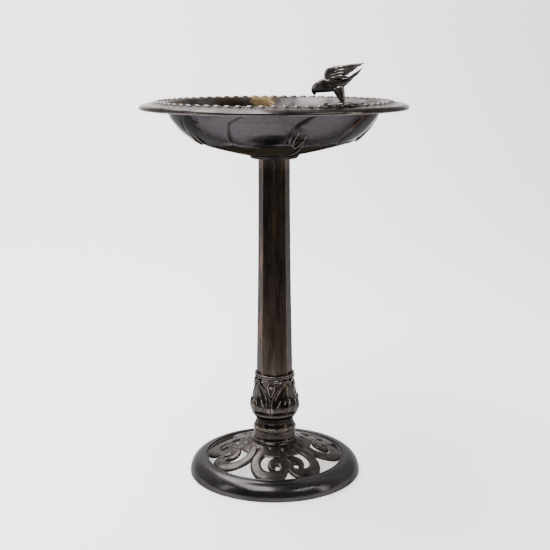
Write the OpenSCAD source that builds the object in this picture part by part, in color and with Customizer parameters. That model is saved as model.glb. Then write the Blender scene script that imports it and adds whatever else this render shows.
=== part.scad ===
// Bird bath: a shallow dish on a tapered octagonal column, with an openwork foot and a drinking bird.
// Millimetres, +Z up. The origin is the centre of the foot ring's resting face.

/* [Foot ring] */
// Outer radius of the foot ring where it meets the ground
foot_r = 170.5; // [160:0.5:180]
// Height of the bead along the ring's inner edge
foot_h = 32.5; // [31:0.5:34]
// Radius of the seat that holds the scroll grille
foot_seat_r = 137.2; // [136:0.1:138]
// Wall of the hollow foot ring
foot_wall = 5; // [4:0.5:6]

/* [Scroll grille] */
// Height of the grille's flat centre
grille_top_z = 63; // [61:0.5:64]
// Thickness of the grille casting
grille_t = 6; // [5:0.5:7]
// Number of palmette loops round the foot
loop_count = 4; // [4:1:4]
// Turn of the first loop away from the front
loop_turn = 13.7; // [0:0.1:45]

/* [Pedestal] */
// Height of the column's lower end, hidden in the collar
column_z0 = 150; // [148:1:152]
// Height of the column's upper end
column_z1 = 625.7; // [620:0.1:625.7]
// Corner radius of the octagon at its upper end
column_tip_r = 30.5; // [30:0.1:31]
// Growth of the corner radius from the upper end to the lower end
column_flare = 5.4; // [4:0.1:5.5]
// Height of the collar's upper lip
collar_top_z = 204; // [202:1:206]

/* [Dish] */
// Outer radius of the dish over its rolled lip
rim_r = 254; // [250:1:258]
// Radius of the crest that runs round the rim
crest_r = 221; // [219:0.5:223]
// Height of the crest above the ground
crest_z = 735; // [733:0.5:737]
// Height of the dish's underside at its centre
dish_z = 634; // [634:1:634]
// Thickness of the dish wall
dish_wall = 5; // [4:0.5:6]
// Travel of the dish as it lifts off the column
lift_travel = 45; // [35:1:50]

/* [Bird] */
// Distance of the bird's feet to the right of the centre
bird_x = 119; // [110:1:125]
// Direction in which the bird faces
bird_heading = 165; // [155:1:175]

/* [Hardware] */
// Shaft radius of the tie rod, a 10 mm thread
rod_r = 5; // [5:1:5]
// Shaft radius of the dish bolt, an 8 mm thread
bolt_r = 4; // [4:1:4]
// Shaft radius of the bird's screws, a 4 mm thread
screw_r = 2; // [2:1:2]

/* [Hidden] */
$fn = 96;

bronze = [0.17, 0.13, 0.10];
bronze_light = [0.30, 0.26, 0.22];
zinc = [0.62, 0.62, 0.60];
rubber_black = [0.06, 0.06, 0.06];

hole_gap = 0.3;                       // radial room round a clamped rod, bolt or screw
run_gap = 0.08;                       // radial room of the spigot that slides in the socket
screw_gap = 0.05;                     // radial room of a bolt or screw in its thread

// Foot ring
foot_lip_r = foot_seat_r + 4.3;       // outer edge of the inner bead
foot_edge_h = 2;                      // upright edge at the ground
foot_arc_steps = 14;
ledge_z = grille_top_z - 38.2;        // ledge under the grille's rim band
ledge_r = 130.5;
ledge_t = 4.3;

// Scroll grille
grille_seat_r = 46;                   // flat centre that carries the hub
grille_band_r0 = 129.5;               // inner edge of the rim band
grille_band_r1 = foot_seat_r - 0.2;
grille_disc_r = 73;                   // solid disc round the hub
eye_a = 47;                           // half width of each loop's opening
eye_b = 33;                           // half length of each loop's opening
eye_centre = 76;
loop_half = 65;                       // outer half width of each loop
corner_reach = 90;
corner_curve = 6;
curl_r = 11.5;
curl_x = 20.5;
curl_y = 87.5;
stem_half = [12, 17];
notch_half = 8;
notch_tip = 120.5;
ellipse_steps = 40;

// Pedestal
hub_z = grille_top_z;
neck_z = 86;
collar_z = 111.5;
hub_bore_r = 28;
column_bore_low = 29.5;
column_bore_high = 25.4;
column_steps = 10;
column_power = 1.8;
collar_socket_gap = 0.1;

// Column socket, the cup in the column's upper end that takes the dish's spigot
socket_floor_z = 563;
socket_floor_t = 6;
socket_bore_r = 16;
socket_wall_gap = 0.2;

// Tie rod and its fasteners
rod_z0 = 42;
rod_z1 = 582;
washer_t = 2;
washer_r = 14;
nut_t = 8;
nut_corner_r = 9.8;
rod_chamfer = 1;

// Dish profile
dish_foot_r = 54;
dish_side_r = 194.5;
dish_dome = 17;                       // rise of the gentle dome
dish_side = 55;                       // rise of the steep side
dish_power = 3.4;
dish_steps = 20;
under_z = crest_z - 8.5;              // flat underside of the rim
rim_seam = [[198.2, 712], [193, 712]]; // outer and inner edge of the seam between bowl and rim

// Dish flange and its spigot
flange_z = 626;
spigot_clear = 5;                     // share of the travel left once the spigot is out of the socket
spigot_z = flange_z - lift_travel + spigot_clear;
spigot_r = socket_bore_r - run_gap;
flange_steps = [[46, 627], [49.6, 630.4], [54, dish_z]];

// Dish bolt
bolt_head_r = 8;
bolt_head_t = 4;
bolt_washer_r = 13;
bolt_washer_t = 2;
floor_z = dish_z + dish_wall;
bolt_z0 = 598;

// Bird
bird_y = -sqrt(crest_r * crest_r - bird_x * bird_x);
perch_half = 34;
perch_r = 3.4;
perch_z = crest_z + 2.2;
screw_reach = 18;
screw_head_r = 4;
screw_head_t = 2.6;
hull_fn = 16;

// Corner radius of the octagonal column at height z
function column_r(z) =
    column_tip_r + column_flare * pow(max(0, min(1, (column_z1 - z) / (column_z1 - 208))), column_power);

// Points of an ellipse about (0, cy)
function ellipse(a, b, cy) =
    [for (i = [0:ellipse_steps - 1]) let (t = 360 * i / ellipse_steps) [a * cos(t), cy + b * sin(t)]];

// Height and slope of the dish's underside, at the share s of the way out from its foot to its side
function dish_rise(s) = dish_dome * s + dish_side * pow(s, dish_power);
function dish_slope(s) =
    (dish_dome + dish_side * dish_power * pow(s, dish_power - 1)) / (dish_side_r - dish_foot_r);

// Point of the dish's wall at the share s, moved inwards across the wall by t
function dish_point(s, t) =
    let (m = dish_slope(s), n = sqrt(1 + m * m))
    [dish_foot_r + s * (dish_side_r - dish_foot_r) - t * m / n, dish_z + dish_rise(s) + t / n];

// Quarter of an ellipse from (r0, z0) at the ground up to (r1, z1) at the inner edge
function foot_arc(r0, z0, r1, z1) =
    [for (i = [0:foot_arc_steps]) let (t = 90 * i / foot_arc_steps)
        [r1 + (r0 - r1) * cos(t), z0 + (z1 - z0) * sin(t)]];

// The loops' own frame: the first loop's axis lies along +Y of this child
module at_loop(i) {
    rotate([0, 0, 180 + loop_turn + 360 * i / loop_count])
        children();
}

module hexagon_nut(z) {
    translate([0, 0, z])
        difference() {
            cylinder(h = nut_t, r = nut_corner_r, $fn = 6);
            translate([0, 0, -1])
                cylinder(h = nut_t + 2, r = rod_r);
        }
}

module flat_washer(z) {
    translate([0, 0, z])
        difference() {
            cylinder(h = washer_t, r = washer_r);
            translate([0, 0, -1])
                cylinder(h = washer_t + 2, r = rod_r + hole_gap);
        }
}

// Domed ring, hollow underneath, with a bead round its inner edge and a ledge for the grille
module foot_ring() {
    outer = foot_arc(foot_r, foot_edge_h, foot_lip_r, foot_h - 0.8);
    inner = foot_arc(foot_r - foot_wall, foot_edge_h, foot_lip_r + 2, foot_h - foot_wall - 1.5);
    inner_back = [for (i = [foot_arc_steps:-1:0]) inner[i]];
    bead = [[foot_lip_r - 1, foot_h], [foot_seat_r + 1, foot_h], [foot_seat_r, foot_h - 1],
            [foot_seat_r, ledge_z], [ledge_r, ledge_z], [ledge_r, ledge_z - ledge_t],
            [foot_lip_r - 1.5, ledge_z - ledge_t]];
    color(bronze)
        rotate_extrude()
            polygon(concat([[foot_r - foot_wall, 0], [foot_r, 0]], outer, bead, inner_back));
}

// Opening on both sides of a loop's palmette
module palmette_gap() {
    difference() {
        polygon(ellipse(eye_a, eye_b, eye_centre));
        circle(r = grille_disc_r);
        polygon([[-stem_half[0], 60], [stem_half[0], 60], [stem_half[1], 112], [-stem_half[1], 112]]);
        for (side = [-1, 1])
            translate([side * curl_x, curl_y])
                circle(r = curl_r);
    }
}

// Three-sided opening between two neighbouring loops
module corner_gap() {
    intersection() {
        circle(r = grille_band_r0);
        polygon([[loop_half, loop_half], [loop_half + corner_reach, loop_half - corner_curve],
                 [loop_half + corner_reach, loop_half + corner_reach],
                 [loop_half - corner_curve, loop_half + corner_reach]]);
    }
}

// Small opening where a loop's two lobes meet the rim band
module lobe_notch() {
    polygon([[0, notch_tip], [notch_half, grille_band_r0 - 1], [-notch_half, grille_band_r0 - 1]]);
}

// Shallow cone of scrolled straps, from the hub's seat down to the rim band
module scroll_grille() {
    shell = [[rod_r + hole_gap, grille_top_z - grille_t], [grille_seat_r, grille_top_z - grille_t],
             [grille_band_r0, ledge_z], [grille_band_r1, ledge_z],
             [grille_band_r1, ledge_z + grille_t], [grille_band_r0, ledge_z + grille_t],
             [grille_seat_r, grille_top_z], [rod_r + hole_gap, grille_top_z]];
    color(bronze_light)
        difference() {
            rotate_extrude()
                polygon(shell);
            for (i = [0:loop_count - 1])
                at_loop(i)
                    linear_extrude(height = grille_top_z + 1) {
                        palmette_gap();
                        corner_gap();
                        lobe_notch();
                    }
        }
}

// Bell-shaped hub on the grille's centre
module hub() {
    color(bronze)
        rotate_extrude()
            polygon([[rod_r + hole_gap, neck_z - 5], [hub_bore_r, neck_z - 5], [38, hub_z + 5], [38, hub_z],
                     [46, hub_z], [46, hub_z + 2.5], [44, hub_z + 6], [42.4, hub_z + 12], [41.3, neck_z],
                     [rod_r + hole_gap, neck_z]]);
}

// Spool between the hub and the collar, with a bead ring round its foot
module neck_ring() {
    color(bronze)
        difference() {
            rotate_extrude()
                polygon([[0, neck_z], [41.3, neck_z], [42.3, neck_z + 3.5], [42.3, neck_z + 9], [40.2, neck_z + 13],
                         [37.2, neck_z + 17], [37.2, neck_z + 21], [38.8, collar_z], [0, collar_z]]);
            translate([0, 0, neck_z + 4])
                cylinder(h = collar_z - neck_z - 8, r = hub_bore_r);
            translate([0, 0, neck_z - 1])
                cylinder(h = collar_z - neck_z + 2, r = rod_r + hole_gap);
        }
}

// Ornamental collar, a cup whose octagonal socket holds the column's lower end
module collar() {
    color(bronze)
        difference() {
            rotate_extrude()
                polygon([[0, collar_z], [38.8, collar_z], [42.2, 116], [43.8, 120], [44.6, 124], [48, 128.5],
                         [49.1, 133], [49.1, 141], [48, 145], [46, 149.5], [44, 154], [42.6, 162], [40.5, 175],
                         [40.5, 191], [39.8, 198], [38.6, collar_top_z], [0, collar_top_z]]);
            translate([0, 0, column_z0])
                rotate([0, 0, 90])
                    cylinder(h = collar_top_z, r = column_r(0) + collar_socket_gap, $fn = 8);
            translate([0, 0, collar_z + 7])
                cylinder(h = collar_top_z, r = column_bore_low);
            translate([0, 0, collar_z - 1])
                cylinder(h = 10, r = rod_r + hole_gap);
        }
}

// Solid octagon with a curved taper, one corner to the front
module octagon_shaft() {
    rows = [for (i = [0:column_steps]) column_z0 + i * (column_z1 - column_z0) / column_steps];
    points = [for (z = rows) for (k = [0:7]) [column_r(z) * cos(45 * k), column_r(z) * sin(45 * k), z]];
    sides = [for (i = [0:column_steps - 1]) for (k = [0:7])
                let (m = (k + 1) % 8) [8 * i + k, 8 * (i + 1) + k, 8 * (i + 1) + m, 8 * i + m]];
    lower_end = [for (k = [0:7]) k];
    upper_end = [for (k = [7:-1:0]) 8 * column_steps + k];
    polyhedron(points, concat(sides, [lower_end, upper_end]));
}

// Tapered octagonal tube
module column() {
    color(bronze)
        difference() {
            octagon_shaft();
            translate([0, 0, column_z0 - 1])
                cylinder(h = column_z1 - column_z0 + 2, r1 = column_bore_low, r2 = column_bore_high);
        }
}

// Cup in the column's upper end, bored for the dish's spigot
module column_socket() {
    color(zinc)
        difference() {
            translate([0, 0, socket_floor_z])
                cylinder(h = column_z1 - socket_floor_z, r = column_bore_high - socket_wall_gap);
            translate([0, 0, socket_floor_z + socket_floor_t])
                cylinder(h = column_z1, r = socket_bore_r);
            translate([0, 0, socket_floor_z - 1])
                cylinder(h = socket_floor_t + 2, r = rod_r + hole_gap);
        }
}

// Rod that clamps the foot, hub, collar, column and socket together
module tie_rod() {
    color(zinc)
        rotate_extrude()
            polygon([[0, rod_z0], [rod_r - rod_chamfer, rod_z0], [rod_r, rod_z0 + rod_chamfer],
                     [rod_r, rod_z1 - rod_chamfer], [rod_r - rod_chamfer, rod_z1], [0, rod_z1]]);
}

module rod_washers() {
    color(zinc) {
        flat_washer(grille_top_z - grille_t - washer_t);
        flat_washer(socket_floor_z + socket_floor_t);
    }
}

module rod_nuts() {
    color(zinc) {
        hexagon_nut(grille_top_z - grille_t - washer_t - nut_t);
        hexagon_nut(socket_floor_z + socket_floor_t + washer_t);
    }
}

// Shallow round bowl of the dish, up to the rim's seam
module dish_bowl() {
    outside = [for (i = [0:dish_steps]) dish_point(i / dish_steps, 0)];
    inside = [for (i = [dish_steps:-1:0]) dish_point(i / dish_steps, dish_wall)];
    color(bronze)
        difference() {
            rotate_extrude()
                polygon(concat([[0, dish_z]], outside, rim_seam, inside, [[0, floor_z]]));
            translate([0, 0, dish_z - 1])
                cylinder(h = dish_wall + 2, r = bolt_r + hole_gap);
        }
}

// Flared rim of the dish: a crest, a bead, and a lip rolled down at the edge
module dish_rim() {
    flare = [[203, 719], [208, 724], [213, under_z], [238, under_z], [244, under_z - 1.8]];
    lip = [[248.5, under_z - 5.2], [251, under_z - 6], [253.2, under_z - 5.2], [rim_r, under_z - 3.2],
           [253.4, 725.2], [251, 728], [247.5, 729.8]];
    crest = [[242, 730.6], [239, 731.6], [236, 731], [231, 732], [226, 734], [crest_r, crest_z], [217, 734.4]];
    throat = [[213.5, 733.4], [209, 731], [204.5, 726.8], [200, 721.4], [196, 716]];
    color(bronze)
        difference() {
            rotate_extrude()
                polygon(concat([rim_seam[0]], flare, lip, crest, throat, [rim_seam[1]]));
            at_perch()
                for (side = [-1, 1])
                    translate([side * screw_reach, 0, under_z - 1])
                        cylinder(h = crest_z - under_z + 4, r = screw_r + hole_gap);
        }
}

// Stepped flange under the dish, with the spigot that drops into the column
module dish_flange() {
    color(bronze)
        difference() {
            rotate_extrude()
                polygon([[0, spigot_z], [spigot_r - 1.5, spigot_z], [spigot_r, spigot_z + 3], [spigot_r, flange_z],
                         [45, flange_z], flange_steps[0], [46.4, 629.4], flange_steps[1], [49.8, 632.6],
                         [53.2, 633.2], flange_steps[2], [0, dish_z]]);
            translate([0, 0, bolt_z0 - 3])
                cylinder(h = dish_z, r = bolt_r + screw_gap);
        }
}

// Soft washer that seals the bolt hole in the dish's floor
module dish_seal_washer() {
    color(rubber_black)
        translate([0, 0, floor_z])
            difference() {
                cylinder(h = bolt_washer_t, r = bolt_washer_r);
                translate([0, 0, -1])
                    cylinder(h = bolt_washer_t + 2, r = bolt_r + hole_gap);
            }
}

// Pan-headed bolt that holds the flange to the dish
module dish_bolt() {
    head_z = floor_z + bolt_washer_t;
    color(zinc)
        rotate_extrude()
            polygon([[0, bolt_z0], [bolt_r - 0.8, bolt_z0], [bolt_r, bolt_z0 + 0.8], [bolt_r, head_z],
                     [bolt_head_r, head_z], [bolt_head_r, head_z + bolt_head_t - 1.5],
                     [bolt_head_r - 2, head_z + bolt_head_t], [0, head_z + bolt_head_t]]);
}

// Frame of the perch: X along the crest, Y towards the dish's centre, the origin on the crest's circle
module at_perch() {
    rotate([0, 0, atan2(bird_y, bird_x) + 90])
        translate([0, -crest_r, 0])
            children();
}

// Frame of the bird: X the way it faces, the origin under its feet
module at_bird() {
    translate([bird_x, bird_y, crest_z])
        rotate([0, 0, bird_heading])
            children();
}

module ball(p, r) {
    translate(p)
        sphere(r = r, $fn = hull_fn);
}

// One raised, swept-back wing: side is 1 on the bird's left and -1 on its right
module bird_wing(side) {
    hull() {
        ball([26, side * 6, 46], 2);
        ball([24, side * 8, 57], 2);
        ball([10, side * 10, 63.6], 2);
        ball([-29.5, side * 15, 69], 1);
        ball([-12, side * 12, 58], 1.2);
        ball([2, side * 6, 46], 2);
    }
}

// Bowed bird with raised wings and tail, its legs cut to sit on the perch
module bird() {
    color(bronze)
        difference() {
            at_bird()
                bird_body();
            at_perch()
                perch_rod();
        }
}

module bird_body() {
    hull() {
        ball([20, 0, 35], 12);
        ball([34, 0, 33], 9);
        ball([-3, 0, 40], 6.5);
    }
    hull() {
        ball([36, 0, 33], 8.5);
        ball([45, 0, 26], 6.5);
    }
    hull() {
        ball([46, 0, 23.5], 5);
        ball([46.5, 0, 15], 1);
    }
    hull() {
        ball([-2, 0, 41], 5);
        ball([-12, 5, 48], 1.6);
        ball([-12, -5, 48], 1.6);
        ball([-31, 6, 64], 1);
        ball([-31, -6, 64], 1);
    }
    for (side = [-1, 1]) {
        bird_wing(side);
        hull() {
            ball([12, side * 4.5, 28], 5);
            ball([0, side * 3, 3], 2.4);
        }
    }
}

// Round twig, as long as the perch
module perch_rod() {
    translate([-perch_half, 0, perch_z])
        rotate([0, 90, 0])
            cylinder(h = 2 * perch_half, r = perch_r);
}

// Twig under the bird's feet, lying along the crest on a flat of its own
module bird_perch() {
    color(bronze)
        at_perch()
            difference() {
                perch_rod();
                translate([-perch_half - 1, -perch_r - 1, crest_z - 2 * perch_r])
                    cube([2 * perch_half + 2, 2 * perch_r + 2, 2 * perch_r]);
                for (side = [-1, 1])
                    translate([side * screw_reach, 0, 0])
                        cylinder(h = perch_z, r = screw_r + screw_gap);
            }
}

module bird_screws() {
    color(zinc)
        at_perch()
            for (side = [-1, 1])
                translate([side * screw_reach, 0, under_z]) {
                    translate([0, 0, -screw_head_t])
                        cylinder(h = screw_head_t, r = screw_head_r);
                    cylinder(h = perch_z - under_z - 0.5, r = screw_r);
                }
}

foot_ring();
scroll_grille();
hub();
neck_ring();
collar();
column();
column_socket();
tie_rod();
rod_washers();
rod_nuts();
dish_bowl();
dish_rim();
dish_flange();
dish_seal_washer();
dish_bolt();
bird();
bird_perch();
bird_screws();
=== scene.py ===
"""Looks of the bird bath: cast bronze pieces built over the CAD frame, and a pale studio to show them in.

Sizes are millimetres in the dataclasses and metres in the meshes. Azimuth is measured in degrees from -Y,
the side that faces the camera, towards +X.
"""

import logging
import math
from collections.abc import Iterable, Mapping, Sequence
from dataclasses import dataclass
from enum import Enum

import bmesh
import bpy
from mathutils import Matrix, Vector


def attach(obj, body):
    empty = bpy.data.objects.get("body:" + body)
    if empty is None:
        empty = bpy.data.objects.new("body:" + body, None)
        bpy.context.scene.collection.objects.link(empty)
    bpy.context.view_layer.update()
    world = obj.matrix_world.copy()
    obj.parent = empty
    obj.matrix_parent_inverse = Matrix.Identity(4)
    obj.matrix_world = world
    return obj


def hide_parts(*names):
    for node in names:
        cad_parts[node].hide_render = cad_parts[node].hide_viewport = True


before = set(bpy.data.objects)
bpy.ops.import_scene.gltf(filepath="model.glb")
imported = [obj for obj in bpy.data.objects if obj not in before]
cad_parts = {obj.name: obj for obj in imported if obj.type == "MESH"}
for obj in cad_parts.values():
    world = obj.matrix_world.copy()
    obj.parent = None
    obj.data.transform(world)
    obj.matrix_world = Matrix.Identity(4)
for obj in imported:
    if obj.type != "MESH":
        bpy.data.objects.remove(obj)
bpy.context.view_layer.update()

LOG = logging.getLogger("bird_bath")
MM = 0.001

Pair = tuple[float, float]
Triple = tuple[float, float, float]

UP: Triple = (0.0, 0.0, 1.0)
BLACK: Triple = (0.0, 0.0, 0.0)
WHITE: Triple = (1.0, 1.0, 1.0)


class Body(Enum):
    """Rigid bodies of the CAD frame."""

    PEDESTAL = "pedestal"
    BASIN = "basin"


class Slot(Enum):
    """Material slots of the record."""

    FOOT = "foot_bronze"
    GRILLE = "grille_bronze"
    COLUMN = "column_bronze"
    COLLAR = "collar_bronze"
    DISH = "dish_bronze"
    BIRD = "bird_bronze"


# ---------------------------------------------------------------------------------------------------------
# Plain geometry
# ---------------------------------------------------------------------------------------------------------


def around(radius: float, azimuth: float, z: float) -> Triple:
    """Point at a radius, azimuth and height."""
    a = math.radians(azimuth)
    return (radius * math.sin(a), -radius * math.cos(a), z)


def turned(x: float, y: float, azimuth: float) -> Pair:
    """Point of a motif, x across and y outwards, turned to an azimuth."""
    a = math.radians(azimuth)
    return (x * math.cos(a) + y * math.sin(a), x * math.sin(a) - y * math.cos(a))


def blend_at(stops: Sequence[Pair], at: float) -> float:
    """Value of a piecewise linear function.

    Args:
        stops: Pairs of position and value, in rising order of position.
        at: Position asked for; it is clamped to the stops.

    Returns:
        The value there.
    """
    if at <= stops[0][0]:
        return stops[0][1]
    for (x0, y0), (x1, y1) in zip(stops, stops[1:]):
        if at <= x1:
            return y0 + (y1 - y0) * (at - x0) / (x1 - x0)
    return stops[-1][1]


def smooth_step(low: float, high: float, at: float) -> float:
    """Smooth rise from 0 at low to 1 at high."""
    t = min(1.0, max(0.0, (at - low) / (high - low)))
    return t * t * (3.0 - 2.0 * t)


def catmull_rom(a: float, b: float, c: float, d: float, t: float) -> float:
    """Value between b and c, at a share t of the way, with a before them and d after them."""
    square = 2 * a - 5 * b + 4 * c - d
    return 0.5 * (2 * b + (c - a) * t + square * t**2 + (3 * b - a - 3 * c + d) * t**3)


def spline(points: Sequence[Sequence[float]], per_span: int) -> list[tuple[float, ...]]:
    """Catmull-Rom curve through points of any dimension.

    Args:
        points: Control points, all of one length.
        per_span: Samples between two neighbouring points.

    Returns:
        The samples, from the first control point to the last.
    """
    ends = [points[0], *points, points[-1]]
    found = []
    for i in range(len(points) - 1):
        nearby = list(zip(*ends[i : i + 4]))
        for k in range(per_span):
            found.append(tuple(catmull_rom(*values, k / per_span) for values in nearby))
    found.append(tuple(float(c) for c in points[-1]))
    return found


def direction_at(stations: Sequence[Sequence[float]], i: int) -> Vector:
    """Direction of a line at one of its stations, in their first two values.

    Args:
        stations: Stations of the line.
        i: Index of the station.

    Returns:
        The direction, of length 1.
    """
    before = stations[max(0, i - 1)]
    after = stations[min(len(stations) - 1, i + 1)]
    return Vector((after[0] - before[0], after[1] - before[1])).normalized()


def placed(name: str, data: bpy.types.ID) -> bpy.types.Object:
    """Links a new object with the given data to the scene.

    Args:
        name: Name of the object.
        data: Its mesh, curve, light or camera.

    Returns:
        The object, at the origin.
    """
    obj = bpy.data.objects.new(name, data)
    bpy.context.scene.collection.objects.link(obj)
    return obj


class Cage:
    """Points and faces of a coarse mesh that grows part by part."""

    def __init__(self) -> None:
        """Starts empty."""
        self.points: list[Triple] = []
        self.faces: list[tuple[int, ...]] = []
        self.creases: dict[tuple[int, int], float] = {}

    def rings(
        self,
        rings: Sequence[Sequence[Triple]],
        loop: bool = False,
        capped: bool = False,
        creased: Iterable[int] = (),
        crease: float = 0.6,
    ) -> None:
        """Adds closed rings of points joined in order.

        Args:
            rings: Rings with the same number of points each.
            loop: Whether the last ring joins the first.
            capped: Whether the two end rings are closed by a face.
            creased: Indices of the points in a ring whose lengthwise edges stay sharper.
            crease: How sharp those edges stay, from 0 to 1.
        """
        base = len(self.points)
        n = len(rings[0])
        for ring in rings:
            self.points.extend(ring)
        spans = len(rings) if loop else len(rings) - 1
        for i in range(spans):
            a = base + i * n
            b = base + ((i + 1) % len(rings)) * n
            for j in range(n):
                k = (j + 1) % n
                self.faces.append((a + j, a + k, b + k, b + j))
            for j in creased:
                self.creases[(a + j, b + j)] = crease
        if capped:
            self.faces.append(tuple(base + j for j in range(n)))
            end = base + (len(rings) - 1) * n
            self.faces.append(tuple(end + j for j in reversed(range(n))))

    def egg(self, centre: Triple, across: Triple, up: Triple, size: Triple) -> None:
        """Adds an egg-shaped bead that a Subdivision Surface rounds off.

        Args:
            centre: Middle of the bead.
            across: Direction of its first size.
            up: Direction of its third size.
            size: Half lengths of the rounded bead across, along and up.
        """
        swell = 1.28
        x = Vector(across).normalized()
        z = Vector(up).normalized()
        y = z.cross(x).normalized()
        corners = []
        for sz in (-1, 1):
            for sx, sy in ((-1, -1), (1, -1), (1, 1), (-1, 1)):
                p = Vector(centre) + swell * (x * sx * size[0] + y * sy * size[1] + z * sz * size[2])
                corners.append(tuple(p))
        self.rings([corners[:4], corners[4:]], capped=True)

    def build(self, name: str) -> bpy.types.Object:
        """Makes the object, with its normals turned outwards.

        Args:
            name: Name of the object and its mesh.

        Returns:
            The new object, linked to the scene.
        """
        mesh = bpy.data.meshes.new(name)
        mesh.from_pydata([[c * MM for c in p] for p in self.points], [], self.faces)
        work = bmesh.new()
        work.from_mesh(mesh)
        layer = work.edges.layers.float.new("crease_edge")
        work.verts.ensure_lookup_table()
        for (a, b), value in self.creases.items():
            edge = work.edges.get((work.verts[a], work.verts[b]))
            if edge is not None:
                edge[layer] = value
        bmesh.ops.recalc_face_normals(work, faces=work.faces)
        for face in work.faces:
            face.smooth = True
        work.to_mesh(mesh)
        work.free()
        return placed(name, mesh)


def subdivide(obj: bpy.types.Object, levels: int) -> None:
    """Adds a Subdivision Surface.

    Args:
        obj: The object.
        levels: Levels in the viewport and in the render.
    """
    mod = obj.modifiers.new("Subdivision", "SUBSURF")
    mod.levels = levels
    mod.render_levels = levels


def bevel(obj: bpy.types.Object, width: float, segments: int = 2, angle: float = 28.0) -> None:
    """Rounds the sharp edges.

    Args:
        obj: The object.
        width: Width of the rounding, in millimetres.
        segments: Segments across the rounding.
        angle: Smallest angle of an edge that is rounded, in degrees.
    """
    mod = obj.modifiers.new("Bevel", "BEVEL")
    mod.width = width * MM
    mod.segments = segments
    mod.limit_method = "ANGLE"
    mod.angle_limit = math.radians(angle)
    mod.harden_normals = True


def lathe(name: str, profile: Sequence[Pair], steps: int = 128, width: float = 0.6) -> bpy.types.Object:
    """Turns a closed profile about the Z axis.

    Args:
        name: Name of the object.
        profile: Radius and height of each corner; the outer side runs from the top to the bottom.
        steps: Steps of the turn.
        width: Width of the rounding along the profile's corners, in millimetres.

    Returns:
        The new object.
    """
    mesh = bpy.data.meshes.new(name)
    points = [(r * MM, 0.0, z * MM) for r, z in profile]
    count = len(points)
    mesh.from_pydata(points, [(i, (i + 1) % count) for i in range(count)], [])
    obj = placed(name, mesh)
    screw = obj.modifiers.new("Turn", "SCREW")
    screw.axis = "Z"
    screw.steps = steps
    screw.render_steps = steps
    screw.use_merge_vertices = True
    screw.merge_threshold = 0.02 * MM
    screw.use_smooth_shade = True
    bevel(obj, width)
    return obj


def rods(
    name: str, routes: Sequence[Sequence[tuple[Triple, float]]], roundness: int, steps: int
) -> bpy.types.Object:
    """Makes round rods of changing thickness along smooth lines.

    Args:
        name: Name of the object.
        routes: For each rod, the place and the radius at every control point.
        roundness: Bevel resolution of the rods' section.
        steps: Steps between two control points.

    Returns:
        The new object.
    """
    data = bpy.data.curves.new(name, "CURVE")
    data.dimensions = "3D"
    data.bevel_depth = 1.0 * MM
    data.bevel_resolution = roundness
    data.resolution_u = steps
    data.use_fill_caps = True
    for route in routes:
        line = data.splines.new("NURBS")
        line.points.add(len(route) - 1)
        line.use_endpoint_u = True
        line.order_u = 4
        for point, (place, radius) in zip(line.points, route):
            point.co = (*(c * MM for c in place), 1.0)
            point.radius = radius
    return placed(name, data)


# ---------------------------------------------------------------------------------------------------------
# Finishes
# ---------------------------------------------------------------------------------------------------------


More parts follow.
